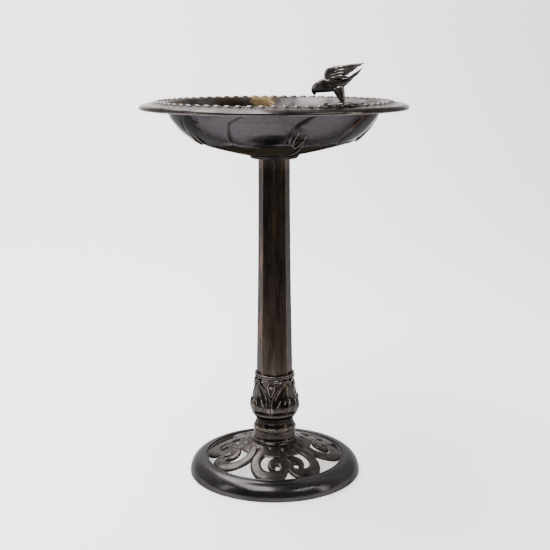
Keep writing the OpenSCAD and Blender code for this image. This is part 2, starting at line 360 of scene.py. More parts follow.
class Graph:
    """Shader nodes of a material or a sky, each made and fed in one call. Colours are linear RGB."""

    def __init__(self, owner: bpy.types.Material | bpy.types.World) -> None:
        """Switches the owner's nodes on.

        Args:
            owner: The material or the sky.
        """
        owner.use_nodes = True
        self.nodes = owner.node_tree.nodes
        self.links = owner.node_tree.links

    def feed(self, node: bpy.types.Node, inputs: Mapping[str | int, object]) -> None:
        """Sets or links inputs of a node.

        Args:
            node: The node.
            inputs: For each input, its value or the output that it takes.
        """
        for key, value in inputs.items():
            socket = node.inputs[key]
            if isinstance(value, bpy.types.NodeSocket):
                self.links.new(value, socket)
            elif socket.type == "RGBA":
                socket.default_value = (*value, 1.0)
            else:
                socket.default_value = value

    def add(self, kind: str, inputs: Mapping[str | int, object], **settings: str) -> bpy.types.NodeOutputs:
        """Makes a node.

        Args:
            kind: Its type.
            inputs: For each input, its value or the output that it takes.
            settings: Its properties.

        Returns:
            Its outputs.
        """
        node = self.nodes.new(kind)
        for name, value in settings.items():
            setattr(node, name, value)
        self.feed(node, inputs)
        return node.outputs

    def noise(
        self, place: bpy.types.NodeSocket, scale: float, detail: float, roughness: float = 0.55
    ) -> bpy.types.NodeSocket:
        """Cloudy noise from 0 to 1, with its scale in repeats per metre."""
        inputs = {"Vector": place, "Scale": scale, "Detail": detail, "Roughness": roughness}
        return self.add("ShaderNodeTexNoise", inputs)["Fac"]

    def ramp(self, at: bpy.types.NodeSocket, stops: Sequence[tuple[float, Triple]]) -> bpy.types.NodeSocket:
        """Colour ramp.

        Args:
            at: Value that it turns into a colour.
            stops: Positions and their colours.

        Returns:
            The colour.
        """
        outputs = self.add("ShaderNodeValToRGB", {"Fac": at})
        elements = outputs["Color"].node.color_ramp.elements
        while len(elements) < len(stops):
            elements.new(0.5)
        for element, (position, colour) in zip(elements, stops):
            element.position = position
            element.color = (*colour, 1.0)
        return outputs["Color"]

    def mix(
        self,
        share: bpy.types.NodeSocket | float,
        a: bpy.types.NodeSocket | Triple,
        b: bpy.types.NodeSocket | Triple,
        blend: str = "MIX",
    ) -> bpy.types.NodeSocket:
        """Colour a with a share of b blended into it."""
        inputs = {"Factor": share, "A": a, "B": b}
        return self.add("ShaderNodeMix", inputs, data_type="RGBA", blend_type=blend)["Result"]

    def product(self, a: bpy.types.NodeSocket, b: bpy.types.NodeSocket | float) -> bpy.types.NodeSocket:
        """Product of two values."""
        return self.add("ShaderNodeMath", {0: a, 1: b}, operation="MULTIPLY")["Value"]

    def level(
        self, value: bpy.types.NodeSocket, source: Pair, target: Pair, smooth: bool = False
    ) -> bpy.types.NodeSocket:
        """Value moved from one range to another and clamped to it.

        Args:
            value: The value.
            source: Range that it comes from.
            target: Range that it goes to.
            smooth: Whether it eases in and out.

        Returns:
            The new value.
        """
        inputs = {"Value": value, "From Min": source[0], "From Max": source[1]}
        inputs |= {"To Min": target[0], "To Max": target[1]}
        way = "SMOOTHSTEP" if smooth else "LINEAR"
        return self.add("ShaderNodeMapRange", inputs, interpolation_type=way)["Result"]

    def dents(self, height: bpy.types.NodeSocket, strength: float, depth: float) -> bpy.types.NodeSocket:
        """Normal of a surface with small dents, depth in metres."""
        inputs = {"Height": height, "Strength": strength, "Distance": depth}
        return self.add("ShaderNodeBump", inputs)["Normal"]


@dataclass(frozen=True)
class Bronze:
    """Glossy antique bronze: dark lacquer with mottled patina, edges lightened as wear and, on some pieces,
    as painted highlights, recesses darkened as painted shade, and a cast grain.

    Colours are linear RGB; rim is how much light it throws back at a grazing angle. Scales are repeats per
    metre, and stretch lengthens the mottling along Z. Each patch of stronger colour has a centre, a radius
    and a colour. Its border fades over patch_fade, measured in radii after noise times patch_rag is added.
    On the dish the dark patches are painted dark reflections.
    """

    name: str
    dark: Triple = (0.012, 0.009, 0.008)
    body: Triple = (0.030, 0.024, 0.021)
    gold: Triple = (0.140, 0.090, 0.045)
    wear_and_highlight: Triple = (0.200, 0.170, 0.140)
    gold_share: float = 0.62
    mottle: float = 26.0
    stretch: float = 1.0
    rough: Pair = (0.20, 0.42)
    edge: Pair = (0.52, 0.60)
    grain: float = 0.10
    coat: float = 0.10
    metal: float = 0.85
    shine: float = 0.5
    rim: Triple = (0.20, 0.18, 0.17)
    patches: Sequence[tuple[Triple, float, Triple]] = ()
    patch_fade: Pair = (2.75, 2.30)
    patch_rag: float = 3.0

    def patch(
        self,
        graph: Graph,
        place: bpy.types.NodeSocket,
        fine: bpy.types.NodeSocket,
        centre: Triple,
        reach: float,
    ) -> bpy.types.NodeSocket:
        """Share of a patch at each point.

        Args:
            graph: Nodes of the material.
            place: Object coordinates.
            fine: Noise that breaks up the border.
            centre: Middle of the patch.
            reach: Its radius.

        Returns:
            1 inside the patch and 0 outside.
        """
        ends = {0: place, 1: [c * MM for c in centre]}
        away = graph.add("ShaderNodeVectorMath", ends, operation="DISTANCE")["Value"]
        terms = {0: fine, 1: self.patch_rag * reach * MM, 2: away}
        ragged = graph.add("ShaderNodeMath", terms, operation="MULTIPLY_ADD")["Value"]
        start, end = self.patch_fade
        return graph.level(ragged, (start * reach * MM, end * reach * MM), (0.0, 1.0), smooth=True)

    def build(self) -> bpy.types.Material:
        """Makes the material.

        Returns:
            A material on object coordinates.
        """
        mat = bpy.data.materials.new(self.name)
        graph = Graph(mat)
        place = graph.add("ShaderNodeTexCoord", {})["Object"]
        squeeze = {"Vector": place, "Scale": (1.0, 1.0, 1.0 / self.stretch)}
        streaked = graph.add("ShaderNodeMapping", squeeze)["Vector"]
        fine = graph.noise(streaked, self.mottle * 9.0, 4.0, 0.65)
        tones = [(0.34, self.dark), (0.50, self.body), (self.gold_share, self.body)]
        tone = graph.ramp(
            graph.noise(streaked, self.mottle, 6.0), [*tones, (self.gold_share + 0.12, self.gold)]
        )
        # Patches of stronger colour; the dark ones on the dish are painted dark reflections.
        for centre, reach, colour in self.patches:
            tone = graph.mix(self.patch(graph, place, fine, centre, reach), tone, colour)
        specks = graph.ramp(fine, [(0.40, (0.75, 0.75, 0.75)), (0.66, WHITE)])
        spotted = graph.mix(0.8, tone, specks, "MULTIPLY")

        # Convex edges take the lighter edge colour: wear on most pieces, painted highlights on the column,
        # collar and bird.
        pointed = graph.add("ShaderNodeNewGeometry", {})["Pointiness"]
        corners = graph.ramp(pointed, [(self.edge[0], BLACK), (self.edge[1], WHITE)])
        rubbed_and_highlit = graph.product(corners, graph.ramp(fine, [(0.35, (0.25, 0.25, 0.25)), (0.6, WHITE)]))
        # Painted shade: concave places darken towards the dark colour.
        recess_shade = graph.ramp(pointed, [(0.40, WHITE), (0.485, BLACK)])
        clouds = graph.noise(streaked, self.mottle * 2.3, 5.0)
        grain = graph.noise(streaked, self.mottle * 5.0, 5.0)
        graph.feed(
            graph.nodes["Principled BSDF"],
            {
                "Base Color": graph.mix(recess_shade, graph.mix(rubbed_and_highlit, spotted, self.wear_and_highlight), self.dark),
                "Roughness": graph.level(clouds, (0.35, 0.70), self.rough),
                "Normal": graph.dents(grain, self.grain, 0.6 * MM),
                "Metallic": self.metal,
                "Specular Tint": self.rim,
                "Specular IOR Level": self.shine,
                "Coat Weight": self.coat,
                "Coat Roughness": 0.12,
            },
        )
        return mat


@dataclass(frozen=True)
class Plain:
    """Finish of a hidden fastener: plated metal or rubber, with scuffs and a fine grain."""

    name: str
    colour: Triple
    stain: Triple
    metal: float
    rough: Pair
    scale: float = 320.0

    def build(self) -> bpy.types.Material:
        """Makes the material.

        Returns:
            A material on object coordinates.
        """
        mat = bpy.data.materials.new(self.name)
        graph = Graph(mat)
        cloud = graph.noise(graph.add("ShaderNodeTexCoord", {})["Object"], self.scale, 6.0, 0.5)
        graph.feed(
            graph.nodes["Principled BSDF"],
            {
                "Base Color": graph.ramp(cloud, [(0.35, self.stain), (0.62, self.colour)]),
                "Roughness": graph.level(cloud, (0.0, 1.0), self.rough),
                "Normal": graph.dents(cloud, 0.15, 0.3 * MM),
                "Metallic": self.metal,
            },
        )
        return mat


def fit(
    obj: bpy.types.Object,
    material: bpy.types.Material,
    body: Body,
    nodes: Sequence[str] = (),
    levels: int = 0,
) -> None:
    """Gives a piece its last modifier, its material, its body and the CAD nodes that it stands for.

    Args:
        obj: The piece.
        material: Its finish.
        body: The body that carries it.
        nodes: CAD nodes that it replaces.
        levels: Levels of its Subdivision Surface, or 0 for none.
    """
    if levels:
        subdivide(obj, levels)
    obj.data.materials.append(material)
    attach(obj, body.value)
    if nodes:
        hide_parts(*nodes)
    LOG.info("%s on %s, stands for %s", obj.name, body.value, ", ".join(nodes) or "no node of its own")


# ---------------------------------------------------------------------------------------------------------
# Foot
# ---------------------------------------------------------------------------------------------------------


@dataclass
class FootRing:
    """Domed ring on the ground, with a bead round its inner edge."""

    radius: float = 170.5
    edge: float = 2.0
    inner_radius: float = 142.0
    top: float = 31.7
    wall: float = 5.0
    arc_steps: int = 12

    def arc(self, shrink: float) -> list[Pair]:
        """Quarter ellipse of the dome, from the inner edge down to the ground.

        Args:
            shrink: Distance that the arc lies inside the outer face.

        Returns:
            Its points.
        """
        points = []
        for i in range(self.arc_steps + 1):
            t = math.radians(90 - 90 * i / self.arc_steps)
            r = self.inner_radius + (self.radius - shrink - self.inner_radius) * math.cos(t)
            points.append((r, self.edge + (self.top - shrink - self.edge) * math.sin(t)))
        return points

    def build(self, finish: bpy.types.Material) -> None:
        """Makes the ring.

        Args:
            finish: Its finish.
        """
        bead = [(137.3, 31.4), (137.8, 32.6), (139.0, 33.1), (140.1, 32.6), (140.7, 31.7)]
        ledge = [(137.3, 24.9), (132.6, 24.9), (132.6, 20.5), (139.8, 20.5)]
        outer = self.arc(0.0)
        inner = self.arc(self.wall)[::-1]
        profile = bead + outer + [(self.radius, 0.0), (self.radius - self.wall, 0.0)] + inner + ledge[::-1]
        ring = lathe("foot_ring_dome", profile, steps=160, width=0.5)
        fit(ring, finish, Body.PEDESTAL, ["foot_ring"])


@dataclass
class ScrollGrille:
    """Openwork cone: four heart-shaped straps, each with a palmette, between the disc and the rim band."""

    loops: int = 4
    turn: float = 13.7
    seat_radius: float = 46.0
    seat_z: float = 63.0
    band_radius: float = 129.5
    band_z: float = 30.8
    thickness: float = 6.0
    disc_radius: float = 74.0
    disc_columns: int = 144
    bore: float = 5.4

    def surface(self, radius: float) -> float:
        """Height of the cone's upper face at a radius."""
        return blend_at([(self.seat_radius, self.seat_z), (self.band_radius, self.band_z)], radius)

    def strap(
        self,
        cage: Cage,
        azimuth: float,
        side: int,
        stations: Sequence[tuple[float, ...]],
        crown: float,
        drop: float,
    ) -> None:
        """Adds one strap that follows the cone.

        Args:
            cage: Mesh that it is added to.
            azimuth: Azimuth of its motif.
            side: 1 as drawn, -1 mirrored across the motif.
            stations: Across, outwards and half width of each station.
            crown: Height of its ridge over the cone.
            drop: Depth of its edges under the cone.
        """
        rings = []
        for i, (x, y, half) in enumerate(stations):
            along = direction_at(stations, i)
            ring = []
            for share, height in (
                (-0.94, -self.thickness),
                (-1.0, -drop),
                (-0.78, crown * 0.55),
                (0.0, crown),
                (0.78, crown * 0.55),
                (1.0, -drop),
                (0.94, -self.thickness),
            ):
                px = x - along.y * half * share
                py = y + along.x * half * share
                wx, wy = turned(side * px, py, azimuth)
                ring.append((wx, wy, self.surface(math.hypot(px, py)) + height))
            rings.append(ring)
        cage.rings(rings, capped=True, creased=(0, 1, 2, 4, 5, 6), crease=0.6)

    def straps(self) -> bpy.types.Object:
        """Makes the heart-shaped straps.

        Returns:
            All of them as one mesh.
        """
        path = [
            (22, 50, 8.0),
            (37, 53, 9.2),
            (50, 62, 10.2),
            (57, 76, 10.4),
            (58, 91, 10.6),
            (54, 104.5, 11.6),
            (45, 114, 12.6),
            (33, 118, 13.2),
            (20, 117.5, 12.6),
            (10.5, 112.5, 9.0),
            (5, 105, 6.5),
        ]
        cage = Cage()
        for i in range(self.loops):
            for side in (-1, 1):
                self.strap(cage, self.turn + 360 / self.loops * i, side, spline(path, 2), 1.8, 1.4)
        return cage.build("grille_straps")

    def palmettes(self) -> bpy.types.Object:
        """Makes the stems and the side curls.

        Returns:
            All of them as one mesh.
        """
        stem = [(0, 62, 9.0), (0, 72, 9.0), (0, 81, 13.0), (0, 90, 15.5), (0, 100, 14.5), (0, 112, 11.0)]
        curl = [
            (5, 87, 10.0),
            (13, 83, 10.5),
            (20.5, 83, 10.2),
            (27.5, 87, 8.6),
            (30, 94, 6.6),
            (27.5, 100.6, 4.8),
            (23, 102.4, 3.0),
        ]
        cage = Cage()
        for i in range(self.loops):
            azimuth = self.turn + 360 / self.loops * i
            self.strap(cage, azimuth, 1, spline(stem, 2), 1.2, 1.0)
            for side in (-1, 1):
                self.strap(cage, azimuth, side, spline(curl, 2), 1.9, 1.4)
        return cage.build("grille_palmettes")

    def pit(self, azimuth: float, radius: float) -> float:
        """Depth of the teardrop pits and the rays pressed into the disc.

        Args:
            azimuth: Azimuth of a point of the disc.
            radius: Its radius.

        Returns:
            The depth, 0 on the plain disc.
        """
        depth = 0.0
        step = 360 / self.loops
        off = (azimuth - self.turn + step / 2) % step - step / 2
        for centre, at, length, breadth in ((0, 58, 6.5, 4.0), (-26, 56.5, 6.0, 3.8), (26, 56.5, 6.0, 3.8)):
            across = math.radians(off - centre) * radius / breadth
            along = (radius - at) / length
            depth = max(depth, 3.6 * smooth_step(1.25, 0.35, math.hypot(across, along)))
        ray = abs(math.radians(step / 2 - abs(off))) * radius
        depth = max(depth, 2.6 * smooth_step(3.2, 0.6, ray) * smooth_step(50, 56, radius))
        return depth

    def disc(self) -> bpy.types.Object:
        """Makes the disc under the hub.

        Returns:
            The disc.
        """
        azimuths = [360 * j / self.disc_columns for j in range(self.disc_columns)]
        radii = [self.bore, 30, 46, 48.5, 51, 53, 55, 57, 59, 61, 63, 65.5, 68.5, 71.5, self.disc_radius]
        upper = [[around(r, a, self.surface(r) + 0.4 - self.pit(a, r)) for a in azimuths] for r in radii]
        lower = [
            [around(r, a, self.surface(r) - self.thickness) for a in azimuths]
            for r in (self.disc_radius - 0.6, 46, self.bore)
        ]
        cage = Cage()
        cage.rings(upper + lower, loop=True)
        return cage.build("grille_disc")

    def band(self) -> bpy.types.Object:
        """Makes the narrow rim band that the straps end in."""
        profile = [(134.2, 30.8), (136.8, 30.8), (136.8, 25.0), (133.2, 25.0), (133.2, 30.0)]
        return lathe("grille_band", profile, steps=160, width=0.5)

    def build(self, finish: bpy.types.Material) -> None:
        """Makes the whole grille.

        Args:
            finish: Its finish.
        """
        fit(self.straps(), finish, Body.PEDESTAL, ["scroll_grille"], levels=2)
        fit(self.palmettes(), finish, Body.PEDESTAL, levels=2)
        fit(self.disc(), finish, Body.PEDESTAL, levels=1)
        fit(self.band(), finish, Body.PEDESTAL)


# ---------------------------------------------------------------------------------------------------------
# Hub, neck, collar and column
# ---------------------------------------------------------------------------------------------------------


@dataclass
class Neck:
    """Bell-shaped hub, and the spool above it with a ring of beads."""

    bore: float = 5.4
    beads: int = 40
    bead_radius: float = 41.0
    bead_z: float = 91.2

    def build(self, finish: bpy.types.Material) -> None:
        """Makes the hub, the spool and the beads, long and short by turns.

        Args:
            finish: Their finish.
        """
        hub = [
            (self.bore, 86.0),
            (40.6, 86.0),
            (41.2, 83.0),
            (41.4, 76.5),
            (42.2, 72.0),
            (43.6, 69.6),
            (43.2, 68.6),
            (45.2, 66.8),
            (46.4, 64.8),
            (46.0, 63.0),
            (38.0, 63.0),
            (38.0, 68.0),
            (28.0, 81.0),
            (self.bore, 81.0),
        ]
        fit(lathe("hub_bell", hub, width=0.7), finish, Body.PEDESTAL, ["hub"])
        spool = [
            (self.bore, 111.5),
            (38.2, 111.5),
            (36.8, 108.0),
            (36.6, 104.8),
            (38.0, 103.4),
            (38.8, 100.0),
            (40.4, 96.6),
            (41.2, 95.6),
            (40.0, 94.6),
            (40.8, 93.8),
            (40.8, 88.4),
            (41.6, 87.2),
            (40.6, 86.0),
            (self.bore, 86.0),
        ]
        fit(lathe("neck_spool", spool, width=0.6), finish, Body.PEDESTAL, ["neck_ring"])
        cage = Cage()
        for i in range(self.beads):
            azimuth = 360 * i / self.beads
            tangent = around(1, azimuth + 90, 0)
            long = 2.9 if i % 2 else 1.9
            cage.egg(around(self.bead_radius, azimuth, self.bead_z), tangent, UP, (long, 1.9, 2.1))
        fit(cage.build("neck_beads"), finish, Body.PEDESTAL, levels=2)


@dataclass
class Collar:
    """Ornamental sleeve: four pointed leaves with raised borders, and a bud between each two.

    The outline gives the height and the radius of the sleeve's outer face. Each stroke on a leaf has its
    azimuth from the leaf's middle, its height, its half length and how far it leans.
    """

    leaves: int = 4
    leaf_turn: float = 35.0
    foot_z: float = 124.0
    notch_z: float = 153.0
    tip_z: float = 195.0
    columns: int = 24
    rows: int = 20
    half_turn: float = 44.5
    scroll_radius: float = 41.6
    outline: Sequence[Pair] = (
        (111.5, 38.2),
        (116.0, 41.6),
        (119.0, 43.2),
        (121.0, 45.2),
        (125.5, 45.6),
        (128.0, 45.4),
        (133.0, 46.8),
        (141.0, 46.8),
        (146.0, 45.4),
        (150.0, 43.6),
        (155.0, 41.8),
        (162.0, 40.2),
        (175.0, 38.6),
        (191.0, 38.2),
        (196.0, 38.2),
    )
    strokes_at: Sequence[tuple[float, float, float, float]] = (
        (-25, 149, 7.5, 0.45),
        (25, 149, 7.5, -0.45),
        (-8, 151, 4.5, 0.2),
        (5, 149, 9.0, -0.15),
    )

    def core(self) -> bpy.types.Object:
        """Makes the sleeve itself, with two lines round its upper lip.

        Returns:
            The sleeve.
        """
        lip = [(30.8, 204.2), (38.0, 204.2), (39.6, 203.0), (39.4, 201.4)]
        lines = [(38.4, 200.6), (39.4, 199.6), (39.4, 197.6)]
        outer = [(r, z) for z, r in reversed(self.outline)]
        inner = [(5.4, 111.5), (5.4, 118.5), (30.8, 118.5)]
        return lathe("collar_core", lip + lines + outer + inner, steps=96, width=0.5)

    def leaf_half(self, z: float) -> float:
        """Half angle of a leaf at a height, in degrees."""
        t = min(1.0, max(0.0, (z - self.notch_z) / (self.tip_z - self.notch_z)))
        return self.half_turn * (1.0 - t**1.55) + 0.8

    def leaf_lift(self, u: float, z: float) -> float:
        """Height of a leaf's relief over the sleeve.

        Args:
            u: Place across the leaf, from -1 to 1.
            z: Height.

        Returns:
            The lift in millimetres.
        """
        half_width = max(3.0, math.radians(self.leaf_half(z)) * 42.0)
        inwards = (1.0 - abs(u)) * half_width
        border = 2.6 * smooth_step(-0.2, 1.6, inwards) * smooth_step(9.5, 7.5, inwards)
        panel = 1.6 * smooth_step(9.0, 15.0, inwards)
        rib = 1.3 * smooth_step(2.6, 0.6, abs(u) * half_width) * smooth_step(188, 170, z)
        lean = abs(u) * half_width - (10.0 + 0.45 * (z - 128.0))
        vein = 1.2 * smooth_step(2.2, 0.4, abs(lean)) * smooth_step(172, 160, z) * smooth_step(128, 134, z)
        curl = 3.2 * smooth_step(self.tip_z - 12.0, self.tip_z, z)
        foot = smooth_step(self.foot_z - 2, self.foot_z + 8, z)
        return 0.5 + foot * (border + panel + rib + vein) + curl

    def leaf_sheets(self) -> bpy.types.Object:
        """Makes the four leaves as curved sheets with thickness.

        Returns:
            All of them as one mesh.
        """
        profile = self.outline
        cage = Cage()
        for leaf in range(self.leaves):
            centre = self.leaf_turn + 360 / self.leaves * leaf
            base = len(cage.points)
            for row in range(self.rows + 1):
                z = self.foot_z + (self.tip_z - self.foot_z) * row / self.rows
                for column in range(self.columns + 1):
                    u = 2.0 * column / self.columns - 1.0
                    radius = blend_at(profile, z) + self.leaf_lift(u, z)
                    cage.points.append(around(radius, centre + u * self.leaf_half(z), z))
            width = self.columns + 1
            for row in range(self.rows):
                for column in range(self.columns):
                    a = base + row * width + column
                    cage.faces.append((a, a + 1, a + 1 + width, a + width))
        sheet = cage.build("collar_leaves")
        shell = sheet.modifiers.new("Thickness", "SOLIDIFY")
        shell.thickness = 2.6 * MM
        shell.offset = -1.0
        return sheet

    def bud(self, cage: Cage, centre: float) -> None:
        """Adds a pointed bud with an eye and a flat bead on each side.

        Args:
            cage: Mesh that they are added to.
            centre: Azimuth of the bud.
        """
        rings = []
        for z, half, lift in (
            (160, 1.0, 0.4),
            (166, 3.6, 1.6),
            (172, 6.4, 2.4),
            (179, 8.6, 2.8),
            (186, 8.4, 2.4),
            (190, 5.4, 1.2),
        ):
            radius = blend_at(self.outline, z)
            across = math.degrees(half / radius)
            section = ((-1.0, -1.0), (lift, -0.8), (lift * 0.45, 0.0), (lift, 0.8), (-1.0, 1.0))
            rings.append([around(radius + out, centre + across * share, z) for out, share in section])
        cage.rings(rings, capped=True, creased=(1, 3), crease=0.5)
        tangent = around(1, centre + 90, 0)
        outwards = around(1, centre, 0)
        cage.egg(around(blend_at(self.outline, 181) + 1.6, centre, 181), tangent, outwards, (3.3, 3.3, 2.0))
        for side in (-1, 1):
            place = around(blend_at(self.outline, 192) + 0.4, centre + side * 17, 192)
            cage.egg(place, tangent, outwards, (8.5, 3.2, 1.5))

    def strokes(self, cage: Cage, middle: float) -> None:
        """Adds the short raised strokes on one leaf.

        Args:
            cage: Mesh that they are added to.
            middle: Azimuth of the leaf.
        """
        for off, z, long, lean in self.strokes_at:
            centre = middle + off
            radius = blend_at(self.outline, z) + self.leaf_lift(off / self.half_turn, z)
            along = Vector(UP) + lean * Vector(around(1, centre + 90, 0))
            cage.egg(around(radius, centre, z), tuple(along), around(1, centre, 0), (long, 1.5, 1.6))

    def buds(self) -> bpy.types.Object:
        """Makes a bud in each gap between two leaves, and the strokes on the leaves.

        Returns:
            All of them as one mesh.
        """
        cage = Cage()
        step = 360 / self.leaves
        for gap in range(self.leaves):
            self.bud(cage, self.leaf_turn + step * (gap + 0.5))
        for leaf in range(self.leaves):
            self.strokes(cage, self.leaf_turn + step * leaf)
        return cage.build("collar_buds")

    def scroll(self, centre: float, side: int) -> list[list[Triple]]:
        """Rings of one volute.

        Args:
            centre: Azimuth of its leaf.
            side: -1 or 1, the side of the leaf's tip that it lies on.

        Returns:
            The rings, from its outer end to its eye.
        """
        rings = []
        tangent = Vector(around(1, centre + 90, 0))
        for i in range(11):
            turn = math.radians(-60 + 42 * i)
            reach = 4.4 - 0.30 * i
            half = 1.5 - 0.05 * i
            across = side * (3.6 + reach * math.cos(turn))
            azimuth = centre + math.degrees(across / self.scroll_radius)
            mid = Vector(around(self.scroll_radius + 0.12 * i, azimuth, 190.5 + reach * math.sin(turn)))
            radial = Vector((mid.x, mid.y, 0)).normalized()
            spoke = tangent * side * math.cos(turn) + Vector(UP) * math.sin(turn)
            sides = (spoke, radial, -spoke, -radial)
            rings.append([tuple(mid + way * half) for way in sides])
        return rings

    def scrolls(self) -> bpy.types.Object:
        """Makes the small volutes that the leaf tips curl into.

        Returns:
            All of them as one mesh.
        """
        cage = Cage()
        for leaf in range(self.leaves):
            for side in (-1, 1):
                cage.rings(self.scroll(self.leaf_turn + 360 / self.leaves * leaf, side), capped=True)
        return cage.build("collar_scrolls")

    def build(self, finish: bpy.types.Material) -> None:
        """Makes the sleeve and its ornament.

        Args:
            finish: Their finish.
        """
        fit(self.core(), finish, Body.PEDESTAL, ["collar"])
        fit(self.leaf_sheets(), finish, Body.PEDESTAL, levels=1)
        fit(self.buds(), finish, Body.PEDESTAL, levels=2)
        fit(self.scrolls(), finish, Body.PEDESTAL, levels=2)


@dataclass
class Column:
    """Tapered octagonal tube with one corner to the front."""

    low: float = 150.0
    high: float = 627.9
    tip_radius: float = 30.5
    flare: float = 5.4
    flare_from: float = 208.0
    bore_high: float = 27.4
    bore_low: float = 31.4
    rows: int = 12

    def radius(self, z: float) -> float:
        """Corner radius at a height."""
        t = min(1.0, max(0.0, (self.high - z) / (self.high - self.flare_from)))
        return self.tip_radius + self.flare * t**1.8

    def octagon(self, radius: float, z: float) -> list[Triple]:
        """Eight-sided ring at a height, with points beside each corner and in the middle of each side.

        Args:
            radius: Corner radius.
            z: Height.

        Returns:
            Its points.
        """
        points = []
        for k in range(8):
            a = Vector(around(radius, 45 * k, z))
            b = Vector(around(radius, 45 * (k + 1), z))
            points += [tuple(a.lerp(b, t)) for t in (0.0, 0.12, 0.5, 0.88)]
        return points

    def build(self, finish: bpy.types.Material) -> None:
        """Makes the tube with rounded corners.

        Args:
            finish: Its finish.
        """
        cage = Cage()
        heights = [self.low + (self.high - self.low) * i / self.rows for i in range(self.rows + 1)]
        outer = [self.octagon(self.radius(z), z) for z in heights]
        inner = [self.octagon(self.bore_high, self.high), self.octagon(self.bore_low, self.low)]
        cage.rings(outer + inner, loop=True)
        tube = cage.build("column_tube")
        bevel(tube, 1.1, segments=3)
        fit(tube, finish, Body.PEDESTAL, ["column"])


# ---------------------------------------------------------------------------------------------------------
# Dish
# ---------------------------------------------------------------------------------------------------------


@dataclass
class Dish:
    """Shallow bowl with ten overlapping petals underneath, and a flared rim with a border of eggs.

    Rings are given by their radius and, where they have one, their height or their lift over the plain
    underside. The ridge is a petal's lift from its upper edge, at 0, to the next petal, at 1.
    """

    foot_radius: float = 54.0
    side_radius: float = 194.5
    base_z: float = 634.0
    heel_z: float = 636.2
    dome: float = 30.4
    side: float = 39.4
    power: float = 5.0
    wall: float = 5.0
    petals: int = 10
    petal_turn: float = -9.2
    petal_top: float = 725.0
    petal_sweep: float = 18.6
    across: Sequence[float] = (
        0.0, 0.018, 0.05, 0.11, 0.2, 0.32, 0.45, 0.58, 0.7, 0.81, 0.9, 0.955, 0.982,
    )
    sweep_height: float = 15.0
    low_z: float = 660.0
    inner_share: float = 0.45
    lip_radius: float = 149.0
    lip_bow: float = 5.5
    floor_z: float = 639.0
    bore: float = 4.3
    eggs: int = 68
    egg_radius: float = 220.6
    egg_z: float = 734.4
    flute: float = 0.9
    ridge: Sequence[Pair] = (
        (0.0, -2.6), (0.02, 0.6), (0.07, 2.4), (0.16, 2.6), (0.4, 1.5),
        (0.7, 0.7), (0.94, 0.2), (0.98, -0.4), (1.0, -2.6),
    )
    skirt: Sequence[Pair] = ((213.0, 725.8), (208.2, 723.3), (203.5, 718.4), (199.2, 712.9), (196.5, 709.0))
    side_rings: Sequence[float] = (194.2, 192.5, 190, 187, 183.5, 179.5, 175, 170, 165, 160.5, 157)
    fold: Sequence[Pair] = (
        (5.0, 1.4), (1.6, 2.4), (0.2, 2.4), (-0.8, 0.6),
        (-0.4, -3.0), (-4.0, -4.0), (-9.0, -3.4),
    )
    middle_rings: Sequence[Pair] = (
        (135, -2.6), (131.5, -1.2), (129, -1.2), (126, -2.2),
        (112, -1), (92, 0), (72, 0), (56, 0),
    )
    inside_rings: Sequence[float] = (80, 105, 130, 146, 155, 163, 171, 178, 184, 188.5, 192, 194.4)
    skirt_back: Sequence[Pair] = (
        (193.2, 711.0), (197.0, 713.0), (201.0, 719.0), (206.4, 724.6), (212.4, 727.2),
    )

    def outer(self, radius: float) -> Pair:
        """Height and slope of the plain underside.

        Args:
            radius: Radius of the point.

        Returns:
            The height and the slope.
        """
        span = self.side_radius - self.foot_radius
        s = min(1.0, max(0.0, (radius - self.foot_radius) / span))
        z = self.heel_z + self.dome * s + self.side * s**self.power
        slope = (self.dome + self.side * self.power * s ** (self.power - 1)) / span if s > 0 else 0.0
        return z, slope

    def moved(self, radius: float, azimuth: float, lift: float) -> Triple:
        """Moves a point of the underside outwards, across the wall.

        Args:
            radius: Radius of the point.
            azimuth: Its azimuth.
            lift: Distance that it moves.

        Returns:
            The moved point.
        """
        z, slope = self.outer(radius)
        n = math.hypot(1.0, slope)
        return around(radius + lift * slope / n, azimuth, z - lift / n)

    def azimuth(self, place: float, z: float) -> float:
        """Azimuth at a height of a place counted in petals, which swings with the petals' edges."""
        swing = self.petal_sweep * (1.0 - math.exp(min(0.0, z - self.petal_top) / self.sweep_height))
        return self.petal_turn + 360 / self.petals * place - swing

    def relief(self, p: float, z: float) -> float:
        """Lift of a petal at a height, at p from 0 on its upper edge to 1 at the next petal."""
        return blend_at(self.ridge, p) * smooth_step(self.petal_top + 1.0, 710, z)

    def lip(self, p: float) -> float:
        """Radius of a petal's lower end."""
        return self.lip_radius + self.lip_bow * (2.0 * p - 1.0) ** 4

    @property
    def columns(self) -> list[Pair]:
        """Place in petals round the dish, and place across its petal, of each column of points."""
        return [(k + p, p) for k in range(self.petals) for p in self.across]

    def skirt_ring(self, radius: float, z: float) -> list[Triple]:
        """Ring above the side, up to the rim, with most of the petals' relief.

        Args:
            radius: Radius of the plain ring.
            z: Its height.

        Returns:
            Its points.
        """
        return [
            around(radius + 0.8 * max(-1.6, self.relief(p, z)), self.azimuth(place, z), z)
            for place, p in self.columns
        ]

    def petal_ring(self, radius: float, share: float, lift: float) -> list[Triple]:
        """Ring across the petals.

        Args:
            radius: Radius on the plain underside.
            share: Share of the petals' relief that it has.
            lift: Its distance outwards from the plain underside.

        Returns:
            Its points.
        """
        z = self.outer(radius)[0]
        return [
            self.moved(radius, self.azimuth(place, z), share * self.relief(p, z) + lift)
            for place, p in self.columns
        ]

    def fold_ring(self, away: float, lift: float) -> list[Triple]:
        """Ring along the petals' lower ends, with half of their relief.

        Args:
            away: Its distance from those ends, across the dish.
            lift: Its distance outwards from the plain underside.

        Returns:
            Its points.
        """
        z = self.low_z
        return [
            self.moved(self.lip(p) + away, self.azimuth(place, z), lift + 0.5 * self.relief(p, z))
            for place, p in self.columns
        ]

